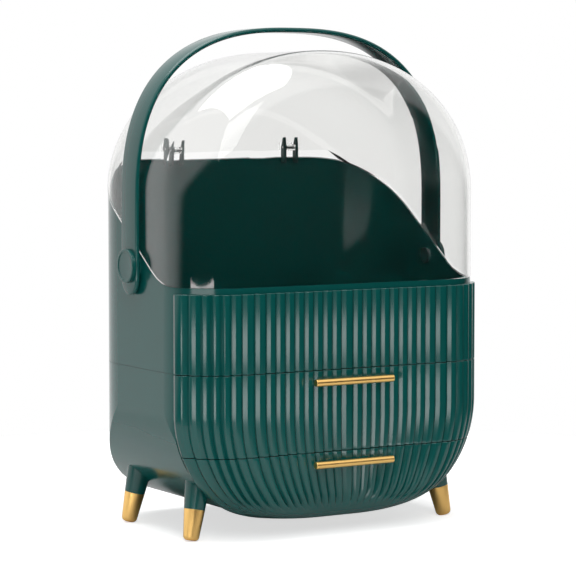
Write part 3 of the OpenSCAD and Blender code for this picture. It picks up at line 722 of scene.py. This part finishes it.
FOOT_X = 124.8
FOOT_FRONT_Y = 43.2
FOOT_REAR_Y = 152.2
FOOT_R = 6.6
FOOT_ROUND = 3.5
FOOT_FLAT = FOOT_R - FOOT_ROUND
LEG_LEAN = math.radians(12)
LEG_SPLAY = 25        # degrees by which a leg's lean turns from the side toward the corner
LEG_TAPER = 0.08
FERRULE_L = 25.5
FERRULE_WALL = 1.4
FERRULE_SOLE = 6.1
FERRULE_EDGE_R = 0.35
FERRULE_ROUND_STEPS = 8


def build_bar(name, body, z):
    """A bar pull with softly broken ends."""
    profile = rounded([(0.0, 0.0), (BAR_D / 2, 0.0), (BAR_D / 2, BAR_L), (0.0, BAR_L)], BAR_EDGE_R)
    verts, faces = lathe(profile, steps=48)
    placed = [at(v.z - BAR_L / 2, -BAR_OUT + v.x, z + v.y) for v in verts]
    return piece(name, placed, faces, "gold", body, name, sharp=60.0)


def leg_matrix(side, rear):
    """Frame of a leg: origin at the middle of the foot, Z up the leg."""
    y = FOOT_REAR_Y if rear else FOOT_FRONT_Y
    z = FOOT_ROUND + FOOT_FLAT * math.sin(LEG_LEAN) - FOOT_ROUND * math.cos(LEG_LEAN)
    turn = Matrix.Rotation(math.radians(side * (LEG_SPLAY if rear else -LEG_SPLAY)), 4, "Z")
    return Matrix.Translation((side * FOOT_X, y, z)) @ turn @ Matrix.Rotation(-side * LEG_LEAN, 4, "Y")


def build_ferrule(side, rear):
    """Gold ferrule of a foot: straight taper, rounded at the floor, with a fine edge at its top."""
    top_r = FOOT_R + LEG_TAPER * FERRULE_L
    bore_r = FOOT_R - FERRULE_WALL
    profile = [(0.0, 0.0), (FOOT_FLAT, 0.0)]
    for i in range(1, FERRULE_ROUND_STEPS + 1):
        a = math.pi / 2 * i / FERRULE_ROUND_STEPS
        profile.append((FOOT_FLAT + FOOT_ROUND * math.sin(a), FOOT_ROUND * (1 - math.cos(a))))
    profile += rounded([(FOOT_R, FOOT_ROUND), (top_r, FERRULE_L), (bore_r, FERRULE_L),
                        (bore_r, FERRULE_SOLE), (0.0, FERRULE_SOLE)], FERRULE_EDGE_R)[1:]
    verts, faces = lathe(profile)
    place = leg_matrix(side, rear)
    placed = [at(*(place @ v)) for v in verts]
    name = "ferrule_%s_%s" % ("rear" if rear else "front", "right" if side > 0 else "left")
    return piece(name, placed, faces, "gold", "case", name, sharp=60.0)


# ---------------------------------------------------------------- stage

# The camera, fitted to the photograph: focal length in pixels, place in metres, angles in degrees
FOCAL_PX = 2401.24
FRAME_PX = 576
SENSOR_MM = 36.0
CAMERA_AT = (-1.0543, -1.7398, 0.3465)
CAMERA_AZIMUTH = -31.17
CAMERA_ELEVATION = 4.17

FLOOR_R = 0.6
FLOOR_STEPS = 96

# Lamps: place, target, width and height in metres, the property with its power, seen in mirrors
LAMPS = {
    # Low at the left: mirrored by the left flanks of the flutes, and too low to show in the lid's front
    "strip": ((-1.75, -1.35, -0.085), (0, -0.05, -0.085), 1.8, 0.29, "strip_power", True),
    # Overhead: the broad highlight on the lid's shoulder
    "top": ((-0.33, 0.0, 2.16), (-0.33, 0.001, 0), 1.48, 3.1, "top_power", True),
    # In front: fills the front, and hidden from mirrors so that it doesn't show as a square in the lid
    "key": ((-0.5, -1.7, 1.3), (0, 0, 0.15), 1.0, 1.0, "key_power", False),
}


def build_lamp(stage, name):
    """One rectangular softbox of the studio."""
    place, target, width, height, power, in_mirrors = LAMPS[name]
    data = bpy.data.lights.new(name, "AREA")
    data.shape = "RECTANGLE"
    data.size = width
    data.size_y = height
    data.energy = getattr(stage, power)
    lamp = add_object(name, data)
    lamp.location = place
    lamp.rotation_euler = (Vector(target) - lamp.location).to_track_quat("-Z", "Y").to_euler()
    lamp.visible_glossy = in_mirrors


def build_camera():
    """The camera at the photograph's angle."""
    data = bpy.data.cameras.new("camera")
    data.sensor_width = SENSOR_MM
    data.sensor_height = SENSOR_MM
    data.sensor_fit = "HORIZONTAL"
    data.lens = FOCAL_PX * SENSOR_MM / FRAME_PX
    data.clip_start = 0.05
    camera = add_object("camera", data)
    camera.location = CAMERA_AT
    a = math.radians(CAMERA_AZIMUTH)
    e = math.radians(CAMERA_ELEVATION)
    back = Vector((math.sin(a) * math.cos(e), -math.cos(a) * math.cos(e), math.sin(e)))
    camera.rotation_euler = back.to_track_quat("Z", "Y").to_euler()
    bpy.context.scene.camera = camera


def ray_shares(tree):
    """1 for rays that come from the camera, straight or through the lid; 1 for mirrored and bent ones."""
    rays = add_node(tree, "ShaderNodeLightPath").outputs
    no_matt = add_node(tree, "ShaderNodeMath", {"operation": "LESS_THAN", 1: 0.5},
                       {0: rays["Diffuse Depth"]})
    no_mirror = add_node(tree, "ShaderNodeMath", {"operation": "LESS_THAN", 1: 0.5},
                         {0: rays["Glossy Depth"]})
    straight = add_node(tree, "ShaderNodeMath", {"operation": "MAXIMUM"},
                        {0: rays["Is Camera Ray"], 1: rays["Is Transmission Ray"]})
    bent = add_node(tree, "ShaderNodeMath", {"operation": "MAXIMUM"},
                    {0: rays["Is Glossy Ray"], 1: rays["Is Transmission Ray"]})
    clean = add_node(tree, "ShaderNodeMath", {"operation": "MULTIPLY"}, {0: straight, 1: no_matt})
    seen = add_node(tree, "ShaderNodeMath", {"operation": "MULTIPLY"}, {0: clean, 1: no_mirror})
    mirrored = add_node(tree, "ShaderNodeMath", {"operation": "MULTIPLY"}, {0: bent, 1: no_matt})
    return seen, mirrored


def build_world(stage):
    """White to the camera; to metal and glass white behind and above, and a dark studio in front."""
    world = bpy.data.worlds.new("studio")
    tree = empty_tree(world)
    seen, mirrored = ray_shares(tree)
    place = add_node(tree, "ShaderNodeTexCoord").outputs["Generated"]
    split = add_node(tree, "ShaderNodeSeparateXYZ", links={"Vector": place})
    height = add_node(tree, "ShaderNodeMath", {"operation": "MULTIPLY", 1: stage.ceiling},
                      {0: split.outputs["Z"]})
    backward = add_node(tree, "ShaderNodeMath", {"operation": "ADD"}, {0: split.outputs["Y"], 1: height})
    behind = add_node(tree, "ShaderNodeMapRange",
                      {"From Min": stage.dark_to, "From Max": stage.white_from,
                       "To Min": stage.front_level, "To Max": 1.0, "interpolation_type": "SMOOTHSTEP"},
                      {"Value": backward})
    low, high = MIX_NUMBERS
    level = add_node(tree, "ShaderNodeMix", {"data_type": "FLOAT", low: stage.fill_level},
                     {MIX_FACTOR: mirrored, high: behind})
    final = add_node(tree, "ShaderNodeMix", {"data_type": "FLOAT", high: 1.0},
                     {MIX_FACTOR: seen, low: level})
    sky = add_node(tree, "ShaderNodeBackground", {"Color": (1.0, 1.0, 1.0, 1.0)}, {"Strength": final})
    add_node(tree, "ShaderNodeOutputWorld", links={"Surface": sky})
    bpy.context.scene.world = world


def build_floor(stage):
    """A round pale floor: white to the camera, and grey only where the object shades it."""
    material = bpy.data.materials.new("pale_paper_floor")
    tree = empty_tree(material)
    matt = add_node(tree, "ShaderNodeBsdfDiffuse", {"Color": (0.8, 0.8, 0.8, 1.0)})
    seen, _ = ray_shares(tree)
    lift = add_node(tree, "ShaderNodeMath", {"operation": "MULTIPLY", 1: stage.floor_lift}, {0: seen})
    glow = add_node(tree, "ShaderNodeEmission", {"Color": (1.0, 1.0, 1.0, 1.0)}, {"Strength": lift})
    joined = add_node(tree, "ShaderNodeAddShader", links={0: matt, 1: glow})
    add_node(tree, "ShaderNodeOutputMaterial", links={"Surface": joined})
    mesh = bpy.data.meshes.new("floor")
    turns = [2 * math.pi * i / FLOOR_STEPS for i in range(FLOOR_STEPS)]
    mesh.from_pydata([(FLOOR_R * math.cos(a), FLOOR_R * math.sin(a), 0) for a in turns], [],
                     [tuple(range(FLOOR_STEPS))])
    mesh.materials.append(material)
    floor = add_object("floor", mesh)


# ---------------------------------------------------------------- add-on

class OrganizerLook(bpy.types.PropertyGroup):
    """Colours and fine shapes of the organizer's pieces."""
    shell_colour: FloatVectorProperty(name="Shell colour", description="Teal of the moulded shell",
                                      default=linear("074E4A")[:3], size=3, subtype="COLOR")
    tray_colour: FloatVectorProperty(name="Tray colour", description="Teal of the trays",
                                     default=linear("0B3F3B")[:3], size=3, subtype="COLOR")
    gold_colour: FloatVectorProperty(name="Gold colour", description="Colour of the plated metal",
                                     default=linear("FFCF7E")[:3], size=3, subtype="COLOR")
    clear_colour: FloatVectorProperty(name="Lid colour", description="Tint of the clear lid",
                                      default=linear("FAFAF9")[:3], size=3, subtype="COLOR")
    shell_rough: FloatProperty(name="Shell roughness", description="Roughness of the moulded shell",
                               default=0.16, min=0.0, max=1.0, subtype="FACTOR")
    flute_depth: FloatProperty(name="Flute depth", description="Depth of the grooves in the fronts",
                               default=2.6 * MM, unit="LENGTH", precision=4)
    lip_r: FloatProperty(name="Lip radius", description="Rounding of the fronts' edges",
                         default=0.6 * MM, unit="LENGTH", precision=4)
    band_edge_r: FloatProperty(name="Band edge radius", description="Rounding of the handle band's edges",
                               default=1.85 * MM, unit="LENGTH", precision=4)


class OrganizerStage(bpy.types.PropertyGroup):
    """Light levels of the studio."""
    fill_level: FloatProperty(name="Fill level", description="World light on the object", default=0.2)
    front_level: FloatProperty(name="Front level", description="Brightness of the dark studio in front",
                               default=0.015)
    dark_to: FloatProperty(name="Dark to", description="Direction up to which the studio is dark",
                           default=-0.15)
    white_from: FloatProperty(name="White from", description="Direction from which the studio is white",
                              default=0.35)
    ceiling: FloatProperty(name="Ceiling", description="How fast the studio grows white upward",
                           default=2.2)
    floor_lift: FloatProperty(name="Floor lift", description="Light that the floor adds for the camera",
                              default=0.65)
    strip_power: FloatProperty(name="Strip power", description="Power of the low softbox at the left",
                               default=8.4, unit="POWER")
    top_power: FloatProperty(name="Top power", description="Power of the softbox above",
                             default=50.0, unit="POWER")
    key_power: FloatProperty(name="Key power", description="Power of the softbox in front",
                             default=14.0, unit="POWER")


class ORGANIZER_OT_frame_finishes(bpy.types.Operator):
    """Gives every CAD piece that stays in view its finish"""
    bl_idname = "organizer.frame_finishes"
    bl_label = "Finishes"

    def execute(self, context):
        slots = {part["node"]: part["material_slot"] for part in frame["record"]["subparts"]}
        for node, obj in frame["nodes"].items():
            obj.data.materials.clear()
            obj.data.materials.append(finish_for(slots[node]))
            obj.data.polygons.foreach_set("material_index", [0] * len(obj.data.polygons))
        return {"FINISHED"}


class ORGANIZER_OT_fluted_fronts(bpy.types.Operator):
    """Builds the fluted panel and the two fluted drawer fronts"""
    bl_idname = "organizer.fluted_fronts"
    bl_label = "Fluted fronts"

    def execute(self, context):
        half_gap = FRONT_GAP / 2
        fluted_front("upper_fascia", "case", FASCIA_TOP_Z, SEAM_Z + half_gap, FASCIA_ROWS,
                     FASCIA_WALL)
        fluted_front("upper_drawer_front", "upper_drawer", SEAM_Z - half_gap, DRAWER_SEAM_Z + half_gap,
                     UPPER_ROWS, DRAWER_WALL)
        fluted_front("lower_drawer_front", "lower_drawer", DRAWER_SEAM_Z - half_gap, BELLY_Z,
                     LOWER_ROWS, DRAWER_WALL, floor=DRAWER_FLOOR_Z)
        return {"FINISHED"}


class ORGANIZER_OT_lid(bpy.types.Operator):
    """Builds the clear dome lid"""
    bl_idname = "organizer.lid"
    bl_label = "Lid"

    def execute(self, context):
        build_lid()
        return {"FINISHED"}


class ORGANIZER_OT_handle(bpy.types.Operator):
    """Builds the carrying handle and its round caps"""
    bl_idname = "organizer.handle"
    bl_label = "Handle"

    def execute(self, context):
        build_handle()
        build_cap(-1)
        build_cap(1)
        return {"FINISHED"}


class ORGANIZER_OT_metal(bpy.types.Operator):
    """Builds the bar pulls and the ferrules of the feet"""
    bl_idname = "organizer.metal"
    bl_label = "Bars and ferrules"

    def execute(self, context):
        build_bar("upper_bar", "upper_drawer", UPPER_BAR_Z)
        build_bar("lower_bar", "lower_drawer", LOWER_BAR_Z)
        for side in (-1, 1):
            for rear in (False, True):
                build_ferrule(side, rear)
        return {"FINISHED"}


class ORGANIZER_OT_stage(bpy.types.Operator):
    """Sets the floor, the studio light and the camera"""
    bl_idname = "organizer.stage"
    bl_label = "Stage"

    def execute(self, context):
        stage = context.scene.organizer_stage
        context.scene.view_settings.view_transform = "Standard"
        build_world(stage)
        build_floor(stage)
        for name in LAMPS:
            build_lamp(stage, name)
        build_camera()
        return {"FINISHED"}


class ORGANIZER_PT_panel(bpy.types.Panel):
    """Lists the organizer's settings and steps"""
    bl_idname = "ORGANIZER_PT_panel"
    bl_label = "Makeup organizer"
    bl_space_type = "VIEW_3D"
    bl_region_type = "UI"
    bl_category = "Organizer"

    def draw(self, context):
        for group in (context.scene.organizer_look, context.scene.organizer_stage):
            for name in group.__annotations__:
                self.layout.prop(group, name)
        for step in STEPS:
            self.layout.operator(step.bl_idname)


STEPS = (ORGANIZER_OT_frame_finishes, ORGANIZER_OT_fluted_fronts, ORGANIZER_OT_lid, ORGANIZER_OT_handle,
         ORGANIZER_OT_metal, ORGANIZER_OT_stage)
CLASSES = (OrganizerLook, OrganizerStage) + STEPS + (ORGANIZER_PT_panel,)


def register():
    """Registers the classes and the two groups of settings."""
    for cls in CLASSES:
        bpy.utils.register_class(cls)
    bpy.types.Scene.organizer_look = PointerProperty(type=OrganizerLook)
    bpy.types.Scene.organizer_stage = PointerProperty(type=OrganizerStage)


def unregister():
    """Takes back what register did."""
    del bpy.types.Scene.organizer_look
    del bpy.types.Scene.organizer_stage
    for cls in reversed(CLASSES):
        bpy.utils.unregister_class(cls)


def main():
    """Runs every step in order."""
    register()
    for step in STEPS:
        group, name = step.bl_idname.split(".")
        getattr(getattr(bpy.ops, group), name)()


if __name__ == "__main__":
    main()
